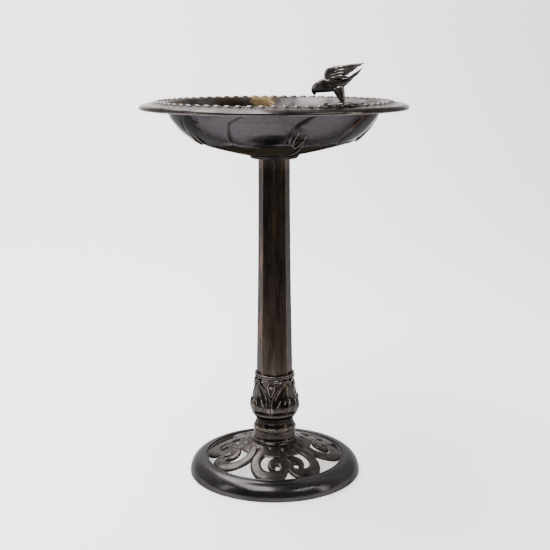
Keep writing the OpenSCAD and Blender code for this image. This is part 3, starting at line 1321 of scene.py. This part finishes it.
    def middle_ring(self, radius: float, lift: float) -> list[Triple]:
        """Ring under the middle, in line with the petals' lower ends."""
        return [self.moved(radius, self.azimuth(place, self.low_z), lift) for place, _ in self.columns]

    def level_ring(self, radius: float, z: float) -> list[Triple]:
        """Level ring in line with the petals' lower ends."""
        return [around(radius, self.azimuth(place, self.low_z), z) for place, _ in self.columns]

    def back_ring(self, radius: float, z: float) -> list[Triple]:
        """Level ring that swings with the petals' edges."""
        return [around(radius, self.azimuth(place, z), z) for place, _ in self.columns]

    def bowl(self) -> tuple[bpy.types.Object, range]:
        """Makes the bowl, with its petals on both faces.

        Returns:
            The bowl, and the indices of the faces under its middle, which get the painted shade.
        """
        rings = [self.skirt_ring(radius, z) for radius, z in self.skirt]
        rings += [self.petal_ring(radius, 1.0, 0.0) for radius in self.side_rings]
        # The faces with the painted shade start where the fold turns under, four rings before its end.
        first = len(rings) + len(self.fold) - 4
        rings += [self.fold_ring(away, lift) for away, lift in self.fold]
        rings += [self.middle_ring(radius, lift) for radius, lift in self.middle_rings]
        rings += [self.level_ring(radius, self.base_z) for radius in (40, 20, 6, self.bore)]
        last = len(rings) - 1
        rings += [self.level_ring(radius, self.floor_z) for radius in (self.bore, 8, 20)]
        rings += [self.level_ring(42, self.floor_z + 0.2), self.level_ring(60, self.floor_z + 3.4)]
        rings += [self.petal_ring(radius, self.inner_share, -self.wall) for radius in self.inside_rings]
        rings += [self.back_ring(radius, z) for radius, z in self.skirt_back]
        cage = Cage()
        cage.rings(rings, loop=True)
        per_ring = len(self.columns)
        return cage.build("dish_bowl_petals"), range(first * per_ring, last * per_ring)

    def rim_profile(self) -> list[Triple]:
        """Outline of the rim, from the throat over the crest and the lip to the flare.

        Returns:
            Radius, height and share of the fluting for each corner.
        """
        throat = [(194.2, 708.0, 0), (196.2, 716.0, 0), (200.2, 721.6, 0), (204.6, 727.0, 0)]
        brow = [(209.0, 731.2, 0), (213.0, 733.4, 0.2), (216.4, 734.2, 0.6)]
        crest = [(220.5, 734.4, 1), (225.0, 733.9, 1), (230.0, 732.6, 0.8), (234.5, 731.5, 0.5)]
        groove = [(237.4, 731.0, 0.2), (238.4, 730.2, 0), (239.6, 731.2, 0), (243.0, 731.2, 0)]
        lip = [(247.5, 730.2, 0), (251.2, 728.2, 0), (253.5, 725.6, 0), (254.0, 723.2, 0)]
        roll = [(252.9, 721.0, 0), (250.8, 720.4, 0), (248.4, 721.2, 0), (244.0, 724.6, 0)]
        under = [(238.0, 726.4, 0), (213.0, 726.4, 0)]
        flare = [(207.0, 725.2, 0), (201.4, 720.2, 0), (197.2, 714.8, 0), (195.4, 709.6, 0)]
        return throat + brow + crest + groove + lip + roll + under + flare

    def rim(self) -> bpy.types.Object:
        """Makes the rim, fluted in step with the eggs.

        Returns:
            The rim.
        """
        per_egg = 4
        columns = self.eggs * per_egg
        waves = [self.flute * math.cos(math.tau * j / per_egg) for j in range(columns)]
        cage = Cage()
        cage.rings(
            [
                [around(radius, 360 * j / columns, z + share * wave) for j, wave in enumerate(waves)]
                for radius, z, share in self.rim_profile()
            ],
            loop=True,
        )
        return cage.build("dish_rim_flare")

    def border(self) -> bpy.types.Object:
        """Makes the eggs along the crest and the darts between them.

        Returns:
            All of them as one mesh.
        """
        cage = Cage()
        step = 360 / self.eggs
        for i in range(self.eggs):
            tangent = around(1, i * step + 90, 0)
            cage.egg(around(self.egg_radius, i * step, self.egg_z), tangent, UP, (6.6, 3.6, 2.3))
            between = (i + 0.5) * step
            dart = around(self.egg_radius + 1.0, between, self.egg_z - 0.5)
            cage.egg(dart, around(1, between, 0), UP, (4.2, 1.2, 1.5))
        return cage.build("dish_border")

    def leaf_curls(self) -> bpy.types.Object:
        """Makes the ribs that run out from the flange and curl over at the petals' ends.

        Returns:
            All of them as one curve.
        """
        hook = [
            (13.8, 183, 2.0, 0.6),
            (12.4, 174, 2.4, 1.0),
            (11.6, 165, 3.0, 1.3),
            (11.6, 157, 3.8, 1.5),
            (13.0, 151.5, 4.4, 1.5),
            (14.8, 152.5, 4.4, 1.4),
            (16.2, 158.5, 3.8, 1.2),
            (17.0, 168, 3.0, 0.7),
        ]
        stem = [
            (18.0, 178, 2.4, 0.7),
            (18.0, 166, 3.2, 1.2),
            (18.2, 156, 4.0, 1.5),
            (18.6, 146, 2.6, 1.6),
            (19.4, 132, 1.2, 1.5),
            (20.4, 112, 0.9, 1.4),
            (21.4, 90, 0.8, 1.4),
            (22.8, 57, 0.6, 1.5),
        ]
        pair_step = 2 * 360 / self.petals
        ribs = [
            [(self.moved(radius, at + pair_step * i, lift), thick) for at, radius, lift, thick in route]
            for i in range(self.petals // 2)
            for route in (hook, stem)
        ]
        return rods("dish_leaf_curls", ribs, roundness=3, steps=5)

    def flange(self) -> bpy.types.Object:
        """Makes the stepped foot of the dish and its spigot.

        Returns:
            Both as one turned piece.
        """
        profile = [
            (4.1, 635.6),
            (46.0, 635.6),
            (51.0, 637.4),
            (51.8, 636.6),
            (50.8, 635.6),
            (47.6, 634.8),
            (48.4, 632.8),
            (47.2, 631.4),
            (45.4, 630.8),
            (45.4, 629.0),
            (44.6, 628.0),
            (15.9, 628.0),
            (15.9, 589.0),
            (14.4, 586.0),
            (4.1, 586.0),
        ]
        return lathe("dish_foot", profile, steps=128, width=0.35)

    def build(
        self, finish: bpy.types.Material, under_shade_finish: bpy.types.Material, rim_finish: bpy.types.Material
    ) -> None:
        """Makes the whole dish, with painted shade, dark and dull, under its middle and lighter on its rim.

        Args:
            finish: Finish of the bowl.
            under_shade_finish: Painted shade, a dark dull finish of its underside inside the petals.
            rim_finish: Finish of the rim and its border.
        """
        bowl, middle = self.bowl()
        fit(bowl, finish, Body.BASIN, ["dish_bowl"], levels=1)
        # The faces under the middle take the painted shade.
        bowl.data.materials.append(under_shade_finish)
        for i in middle:
            bowl.data.polygons[i].material_index = 1
        fit(self.rim(), rim_finish, Body.BASIN, ["dish_rim"], levels=1)
        fit(self.border(), rim_finish, Body.BASIN, levels=2)
        fit(self.leaf_curls(), finish, Body.BASIN)
        fit(self.flange(), finish, Body.BASIN, ["dish_flange"])


# ---------------------------------------------------------------------------------------------------------
# Bird
# ---------------------------------------------------------------------------------------------------------


@dataclass
class Bird:
    """Bird that bows to drink, with raised wings, on a twig that lies along the crest.

    Its own frame has X the way it faces, Y to its left and the origin under its feet. The coverts of a wing
    are rows of feathers: how many, where the first one lies along and up, and its half width.
    """

    x: float = 119.0
    y: float = -186.2
    z: float = 735.0
    heading: float = 165.0
    crest_radius: float = 221.0
    coverts: Sequence[tuple[int, float, float, float]] = (
        (4, 7.0, 62.5, 3.5),
        (4, 15.0, 62.5, 3.4),
        (3, 22.5, 59.0, 3.0),
    )

    def direction(self, own: Sequence[float]) -> Triple:
        """Turns a direction of the bird's own frame into the object's frame.

        Args:
            own: The direction.

        Returns:
            The same direction in the object's frame.
        """
        h = math.radians(self.heading)
        x, y, z = own
        return (x * math.cos(h) - y * math.sin(h), x * math.sin(h) + y * math.cos(h), z)

    def at(self, own: Sequence[float]) -> Triple:
        """Point of the bird's own frame in the object's frame."""
        x, y, z = self.direction(own)
        return (self.x + x, self.y + y, self.z + z)

    def own(self, point: Triple) -> Triple:
        """Turns a point of the object's frame into the bird's own frame.

        Args:
            point: The point.

        Returns:
            The same point in the bird's own frame.
        """
        h = math.radians(self.heading)
        x, y = point[0] - self.x, point[1] - self.y
        return (x * math.cos(h) + y * math.sin(h), y * math.cos(h) - x * math.sin(h), point[2] - self.z)

    def on_crest(self, along: float, shift: float, z: float) -> Triple:
        """Point by its distance along the crest from the bird, outwards from the crest, and its height."""
        azimuth = math.degrees(math.atan2(self.x, -self.y) + along / self.crest_radius)
        return around(self.crest_radius + shift, azimuth, z)

    def loft(
        self, cage: Cage, stations: Sequence[tuple[float, ...]], sides: int = 10, y: float = 0.0
    ) -> None:
        """Adds a rounded body along a line in the bird's upright plane.

        Args:
            cage: Mesh that it is added to.
            stations: Along, up, half height and half width of each station.
            sides: Points round the body.
            y: Distance of the line to the bird's left.
        """
        rings = []
        for i, (px, pz, tall, wide) in enumerate(stations):
            along = direction_at(stations, i)
            ring = []
            for j in range(sides):
                a = math.tau * j / sides
                up = tall * math.cos(a)
                ring.append(self.at((px - along.y * up, y + wide * math.sin(a), pz + along.x * up)))
            rings.append(ring)
        cage.rings(rings, capped=True)

    def feather(
        self,
        cage: Cage,
        root: Triple,
        tip: Triple,
        width: float,
        thick: float,
        facing: Triple,
        bow: float,
    ) -> None:
        """Adds a pointed blade with a raised shaft.

        Args:
            cage: Mesh that it is added to.
            root: Start of the blade in the bird's frame.
            tip: Its point.
            width: Half width at its widest.
            thick: Half thickness.
            facing: Direction that its broad side faces.
            bow: How far its middle bends towards the facing side.
        """
        start = Vector(root)
        end = Vector(tip)
        along = (end - start).normalized()
        out = Vector(facing)
        out = (out - along * out.dot(along)).normalized()
        side = along.cross(out)
        rings = []
        for t, share in ((0.0, 0.55), (0.22, 0.9), (0.45, 1.0), (0.68, 0.86), (0.87, 0.5), (1.0, 0.08)):
            mid = start.lerp(end, t) + out * bow * math.sin(math.pi * t)
            half = width * share
            deep = thick * (0.35 + 0.65 * share)
            rings.append(
                [
                    self.at(mid + side * half),
                    self.at(mid + side * half * 0.35 + out * deep * 0.7),
                    self.at(mid + out * deep * 1.25),
                    self.at(mid - side * half * 0.35 + out * deep * 0.7),
                    self.at(mid - side * half),
                    self.at(mid - out * deep),
                ]
            )
        cage.rings(rings, capped=True, creased=(0, 4), crease=0.4)

    def body(self) -> bpy.types.Object:
        """Makes the body, the bowed head, the beak and the eyes.

        Returns:
            All of them as one mesh.
        """
        cage = Cage()
        self.loft(
            cage,
            [
                (-17, 48.0, 2.0, 3.5),
                (-11, 45.5, 4.4, 5.6),
                (-3, 42.5, 8.2, 8.2),
                (7, 39.4, 12.4, 10.4),
                (18, 37.2, 15.0, 12.4),
                (28, 36.2, 15.2, 12.2),
                (37, 33.0, 12.6, 10.8),
                (44, 31.0, 11.0, 9.8),
                (49.6, 27.6, 9.8, 9.0),
                (52.0, 23.0, 6.8, 6.4),
                (51.8, 19.4, 2.8, 2.8),
                (50.8, 16.4, 0.8, 0.8),
            ],
        )
        for side in (-1, 1):
            cage.egg(self.at((49.0, side * 7.4, 27.0)), self.direction((1, 0, 0)), UP, (1.2, 0.9, 1.2))
        return cage.build("bird_body")

    def wing(self, side: int) -> bpy.types.Object:
        """Makes one raised wing: shoulder, coverts and flight feathers.

        Args:
            side: 1 for the bird's left wing, -1 for its right wing.

        Returns:
            The wing.
        """
        cage = Cage()
        facing = (0.0, side, 0.15)
        self.loft(
            cage,
            [
                (28, 43.0, 3.6, 3.0),
                (27.6, 50.5, 8.4, 4.4),
                (22.8, 57.2, 10.4, 4.8),
                (14, 60.6, 8.8, 4.2),
                (4, 61.6, 7.4, 3.2),
                (-8, 63.2, 5.4, 2.4),
                (-20, 66.6, 3.2, 1.5),
            ],
            sides=8,
            y=side * 8.5,
        )
        primaries = (
            ((13, 63.4), (-33.5, 70.6), 3.4),
            ((10, 60.2), (-28.0, 67.4), 3.4),
            ((8, 57.0), (-21.5, 63.2), 3.6),
            ((8, 53.4), (-15.0, 58.8), 3.6),
            ((9, 49.8), (-8.0, 54.2), 3.4),
            ((12, 46.4), (-1.5, 49.6), 3.0),
        )
        for i, (root, tip, width) in enumerate(primaries):
            depth = side * (9.0 - 0.7 * i)
            reach = side * (15.0 - 1.6 * i)
            self.feather(cage, (root[0], depth, root[1]), (tip[0], reach, tip[1]), width, 1.1, facing, 1.2)
        for row, (count, along, up, width) in enumerate(self.coverts):
            for k in range(count):
                px = along + 1.2 * k
                pz = up - 5.0 * k - 2.2 * (row % 2)
                root = (px + 7.0, side * (11.0 - 0.1 * row), pz - 0.6)
                tip = (px - 11.0, side * (12.0 - 0.4 * row), pz + 3.4)
                self.feather(cage, root, tip, width, 0.8, facing, 0.3)
        return cage.build("bird_wing_left" if side > 0 else "bird_wing_right")

    def tail(self) -> bpy.types.Object:
        """Makes the raised tail of five long feathers.

        Returns:
            The tail.
        """
        cage = Cage()
        for i in range(-2, 3):
            tip = (-32.5 + 1.6 * abs(i), 3.4 * i, 64.5 - 1.8 * abs(i))
            self.feather(cage, (-2, 1.6 * i, 43.0), tip, 4.4, 1.8, (-0.5, 0.25 * i, 0.8), -2.4)
        return cage.build("bird_tail")

    def legs(self) -> bpy.types.Object:
        """Makes the feathered legs and the claws that hold the twig.

        Returns:
            All of them as one mesh.
        """
        cage = Cage()
        for side in (-1, 1):
            self.loft(
                cage,
                [
                    (11.0, 33.0, 11.5, 7.0),
                    (8.5, 26.0, 10.4, 6.0),
                    (6.0, 19.0, 8.2, 5.2),
                    (3.2, 12.6, 6.0, 4.4),
                    (1.2, 6.8, 4.6, 3.6),
                    (0.6, 2.6, 4.2, 3.4),
                ],
                sides=8,
                y=side * 3.6,
            )
            for reach in (-7.0, 5.0, 8.0):
                tip = (reach, side * (3.6 + 0.25 * abs(reach)), 2.2)
                self.feather(cage, (0.0, side * 3.6, 4.0), tip, 1.3, 1.2, UP, 1.4)
        return cage.build("bird_legs")

    def twig(self) -> bpy.types.Object:
        """Makes the twig, thicker towards its buds and tapered at its far end.

        Returns:
            The twig.
        """
        stations = [
            (-35, 736.8, 2.2),
            (-31, 737.2, 3.3),
            (-22, 736.9, 3.0),
            (-12, 737.3, 3.4),
            (-3, 737.4, 4.2),
            (6, 737.6, 4.6),
            (15, 737.8, 3.6),
            (24, 737.4, 2.8),
            (31, 737.0, 2.0),
            (36, 736.6, 1.0),
        ]
        route = [(self.on_crest(along, 0.0, z), thick) for along, z, thick in stations]
        return rods("bird_twig", [route], roundness=4, steps=6)

    def sprigs(self) -> bpy.types.Object:
        """Makes the leaves at the twig's two ends.

        Returns:
            All of them as one mesh.
        """
        cage = Cage()
        for start, end, shift, rise, width in (
            (-31, -41, 2.4, 1.0, 2.6),
            (-31, -39, -2.4, -0.6, 2.4),
            (14, 32, 1.5, -0.2, 2.4),
        ):
            root = self.own(self.on_crest(start, 0.0, 738.2))
            tip = self.own(self.on_crest(end, shift, 737.6 + rise))
            self.feather(cage, root, tip, width, 1.2, (0, 0.6, 0.8), 0.8)
        return cage.build("bird_sprigs")

    def build(self, finish: bpy.types.Material) -> None:
        """Makes the bird and its perch.

        Args:
            finish: Their finish.
        """
        fit(self.body(), finish, Body.BASIN, ["bird"], levels=2)
        for piece in (self.wing(1), self.wing(-1), self.tail(), self.legs(), self.sprigs()):
            fit(piece, finish, Body.BASIN, levels=2)
        fit(self.twig(), finish, Body.BASIN, ["bird_perch"])


# ---------------------------------------------------------------------------------------------------------
# Hidden hardware, studio and camera
# ---------------------------------------------------------------------------------------------------------


@dataclass
class Hardware:
    """CAD nodes that keep their own shape and only get a finish."""

    steel: Sequence[str] = (
        "column_socket",
        "tie_rod",
        "rod_washers",
        "rod_nuts",
        "dish_bolt",
        "bird_screws",
    )
    rubber: Sequence[str] = ("dish_seal_washer",)

    def dress(self, names: Sequence[str], material: bpy.types.Material) -> None:
        """Gives the named nodes one material.

        Args:
            names: Names of the nodes.
            material: Their finish.
        """
        for name in names:
            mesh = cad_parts[name].data
            mesh.materials.clear()
            mesh.materials.append(material)
            LOG.info("%s keeps its CAD shape, in %s", name, material.name)

    def build(self, steel: bpy.types.Material, rubber: bpy.types.Material) -> None:
        """Dresses all of them."""
        self.dress(self.steel, steel)
        self.dress(self.rubber, rubber)


@dataclass(frozen=True)
class Softbox:
    """Rectangular lamp: place, aim and size in metres, power in watts, linear colour.

    A lamp that hangs straight over its aim has its width along X and its height along Y.
    """

    name: str
    place: Triple
    aim: Triple
    size: Pair
    watts: float
    colour: Triple

    def build(self) -> None:
        """Makes the lamp, turned to its aim."""
        data = bpy.data.lights.new(self.name, "AREA")
        data.shape = "RECTANGLE"
        data.size, data.size_y = self.size
        data.energy = self.watts
        data.color = self.colour
        lamp = placed(self.name, data)
        lamp.location = self.place
        lamp.rotation_euler = (Vector(self.aim) - Vector(self.place)).to_track_quat("-Z", "Y").to_euler()


@dataclass
class Studio:
    """Pale floor that curves up behind the object, soft lights and the camera.

    The floor's sizes are in millimetres. It is pale and glows from just in front of the object backwards,
    and is dim nearer the camera; depth_fade is that soft border, in metres along Y. The camera's place is
    in metres, its turns are in degrees.
    """

    half_width: float = 5000.0
    front: float = -6000.0
    bend_start: float = 1800.0
    bend: float = 1400.0
    wall_top: float = 5200.0
    bend_steps: int = 12
    paper_glow: float = 0.86
    depth_fade: Pair = (-0.90, -0.40)
    sky_depth: Pair = (-0.30, 0.55)
    sky_strength: Pair = (0.07, 1.30)
    camera_place: Triple = (0.0, -1.973, 0.823)
    camera_down: float = 12.18
    camera_roll: float = 0.12
    lens: float = 67.7
    lens_shift: Pair = (0.0020, 0.0022)
    lamps: Sequence[Softbox] = (
        Softbox("lamp_over", (-0.94, 0.35, 2.9), (-0.94, 0.35, 0.0), (1.60, 5.4), 370.0, (0.95, 0.94, 1.0)),
        Softbox("lamp_strip", (1.9, -1.75, 2.5), (0, 0, 0.2), (1.4, 0.4), 26.0, (0.95, 0.95, 1.0)),
        Softbox("lamp_left", (-2.4, -0.9, 1.2), (0, 0, 0.4), (0.5, 1.6), 12.0, (0.96, 0.95, 1.0)),
        Softbox("lamp_right", (2.4, -1.0, 1.0), (0, 0, 0.4), (0.5, 1.6), 14.0, (1.0, 0.93, 0.84)),
    )

    def paper(self) -> bpy.types.Material:
        """Makes the floor's material.

        Returns:
            A matt material that glows behind the border and is dim in front of it.
        """
        mat = bpy.data.materials.new("studio_paper")
        graph = Graph(mat)
        place = graph.add("ShaderNodeTexCoord", {})["Object"]
        depth = graph.add("ShaderNodeSeparateXYZ", {"Vector": place})["Y"]
        fade = graph.level(depth, self.depth_fade, (0.0, 1.0), smooth=True)
        graph.feed(
            graph.nodes["Principled BSDF"],
            {
                "Base Color": graph.mix(fade, (0.16, 0.14, 0.13), (0.80, 0.79, 0.78)),
                "Roughness": 0.9,
                "Emission Color": (1.0, 0.985, 0.965),
                "Emission Strength": graph.product(fade, self.paper_glow),
            },
        )
        return mat

    def sweep(self) -> bpy.types.Object:
        """Makes the floor and the wall behind it as one curved sheet.

        Returns:
            The sheet.
        """
        line = [(self.front, 0.0), (0.0, 0.0), (self.bend_start, 0.0)]
        for i in range(1, self.bend_steps + 1):
            a = math.radians(90 * i / self.bend_steps)
            line.append((self.bend_start + self.bend * math.sin(a), self.bend * (1 - math.cos(a))))
        line.append((line[-1][0], self.wall_top))
        mesh = bpy.data.meshes.new("studio_floor")
        points = [(s * self.half_width * MM, y * MM, z * MM) for y, z in line for s in (-1, 1)]
        faces = [(2 * i, 2 * i + 1, 2 * i + 3, 2 * i + 2) for i in range(len(line) - 1)]
        mesh.from_pydata(points, [], faces)
        for face in mesh.polygons:
            face.use_smooth = True
        mesh.materials.append(self.paper())
        return placed("studio_floor", mesh)

    def sky(self) -> None:
        """Lights the surroundings: bright behind the object, dim behind the camera."""
        world = bpy.data.worlds.new("studio_sky")
        bpy.context.scene.world = world
        graph = Graph(world)
        towards = graph.add("ShaderNodeTexCoord", {})["Generated"]
        depth = graph.add("ShaderNodeSeparateXYZ", {"Vector": towards})["Y"]
        strength = graph.level(depth, self.sky_depth, self.sky_strength, smooth=True)
        graph.feed(graph.nodes["Background"], {"Color": (0.97, 0.98, 1.0), "Strength": strength})

    def camera(self) -> None:
        """Places the camera at the height and angle from which the object is shown."""
        data = bpy.data.cameras.new("camera")
        data.lens = self.lens
        data.sensor_width = 36.0
        data.shift_x, data.shift_y = self.lens_shift
        camera = placed("camera", data)
        camera.location = self.camera_place
        camera.rotation_euler = (math.radians(90 - self.camera_down), math.radians(self.camera_roll), 0.0)
        bpy.context.scene.camera = camera

    def build(self) -> None:
        """Makes floor, lights and camera."""
        self.sweep()
        self.sky()
        for lamp in self.lamps:
            lamp.build()
        self.camera()


# ---------------------------------------------------------------------------------------------------------
# Finishes of the pieces, and the whole
# ---------------------------------------------------------------------------------------------------------

FOOT_FINISH = Bronze(
    "foot_bronze_lacquer",
    dark=(0.030, 0.027, 0.027),
    body=(0.044, 0.040, 0.041),
    gold_share=0.72,
    rough=(0.19, 0.30),
    mottle=14.0,
    rim=(0.05, 0.045, 0.043),
    coat=0.12,
)
GRILLE_FINISH = Bronze(
    "grille_bronze_patina",
    body=(0.050, 0.043, 0.038),
    gold_share=0.66,
    rough=(0.28, 0.46),
)
COLUMN_FINISH = Bronze(
    "column_bronze_streaked",
    dark=(0.014, 0.010, 0.007),
    body=(0.034, 0.026, 0.020),
    # Its lighter edge colour paints a highlight line along the column's corners.
    wear_and_highlight=(0.30, 0.25, 0.20),
    gold_share=0.58,
    stretch=7.0,
    mottle=60.0,
    rough=(0.20, 0.38),
    edge=(0.512, 0.545),
    rim=(0.32, 0.27, 0.24),
)
COLLAR_FINISH = Bronze(
    "collar_bronze_relief",
    # Its light edge colour paints highlights on the ribs and borders of the leaves.
    wear_and_highlight=(0.40, 0.35, 0.30),
    gold_share=0.62,
    mottle=40.0,
    rough=(0.14, 0.30),
    edge=(0.514, 0.585),
    coat=0.18,
)
NECK_FINISH = Bronze("neck_bronze_beads", mottle=40.0, rough=(0.14, 0.30), wear_and_highlight=(0.34, 0.29, 0.23))
BOWL_FINISH = Bronze(
    "dish_bronze_bowl",
    body=(0.046, 0.042, 0.045),
    mottle=16.0,
    gold_share=0.74,
    rough=(0.13, 0.26),
    coat=0.06,
    metal=0.94,
    rim=(0.15, 0.14, 0.14),
    # Painted dark reflections at the front left and front right of the bowl's side.
    patches=(
        ((-150, -121, 702), 20, (0.004, 0.003, 0.003)),
        ((155, -114, 703), 19, (0.030, 0.018, 0.011)),
    ),
)
# Painted shade: the underside below the petals' lower ends is dark, matt and without gloss.
PAINTED_SHADE_UNDER_FINISH = Bronze(
    "dish_bronze_painted_shade",
    dark=(0.006, 0.0045, 0.0035),
    body=(0.016, 0.012, 0.009),
    gold=(0.040, 0.026, 0.015),
    wear_and_highlight=(0.060, 0.045, 0.032),
    mottle=22.0,
    rough=(0.5, 0.7),
    coat=0.0,
    metal=0.0,
    shine=0.0,
    rim=(0.02, 0.02, 0.02),
)
RIM_FINISH = Bronze(
    "dish_bronze_rim",
    body=(0.060, 0.052, 0.048),
    wear_and_highlight=(0.42, 0.38, 0.34),
    mottle=16.0,
    gold_share=0.68,
    rough=(0.14, 0.28),
    rim=(0.34, 0.32, 0.30),
    coat=0.15,
    # A gold patch at the back of the throat, then two painted dark reflections on the inside further left.
    patches=(
        ((-24, 202, 722), 22, (0.36, 0.25, 0.12)),
        ((-92, 180, 722), 30, (0.040, 0.024, 0.014)),
        ((-160, 120, 722), 20, (0.030, 0.028, 0.026)),
    ),
)
BIRD_FINISH = Bronze(
    "bird_bronze_relief",
    body=(0.100, 0.092, 0.084),
    # Its light edge colour paints highlights on the feathers.
    wear_and_highlight=(0.46, 0.43, 0.39),
    mottle=60.0,
    rough=(0.14, 0.28),
    edge=(0.51, 0.57),
    coat=0.4,
)
ZINC = Plain("zinc_plate", (0.52, 0.52, 0.50), (0.30, 0.30, 0.28), 1.0, (0.28, 0.5))
RUBBER = Plain("seal_rubber", (0.020, 0.020, 0.020), (0.040, 0.038, 0.036), 0.0, (0.65, 0.9))


def main() -> None:
    """Builds the object piece by piece, then the studio."""
    logging.basicConfig(level=logging.INFO, format="%(message)s")
    FootRing().build(FOOT_FINISH.build())
    ScrollGrille().build(GRILLE_FINISH.build())
    Neck().build(NECK_FINISH.build())
    Collar().build(COLLAR_FINISH.build())
    Column().build(COLUMN_FINISH.build())
    Dish().build(BOWL_FINISH.build(), PAINTED_SHADE_UNDER_FINISH.build(), RIM_FINISH.build())
    Bird().build(BIRD_FINISH.build())
    Hardware().build(ZINC.build(), RUBBER.build())
    Studio().build()


if __name__ == "__main__":
    main()
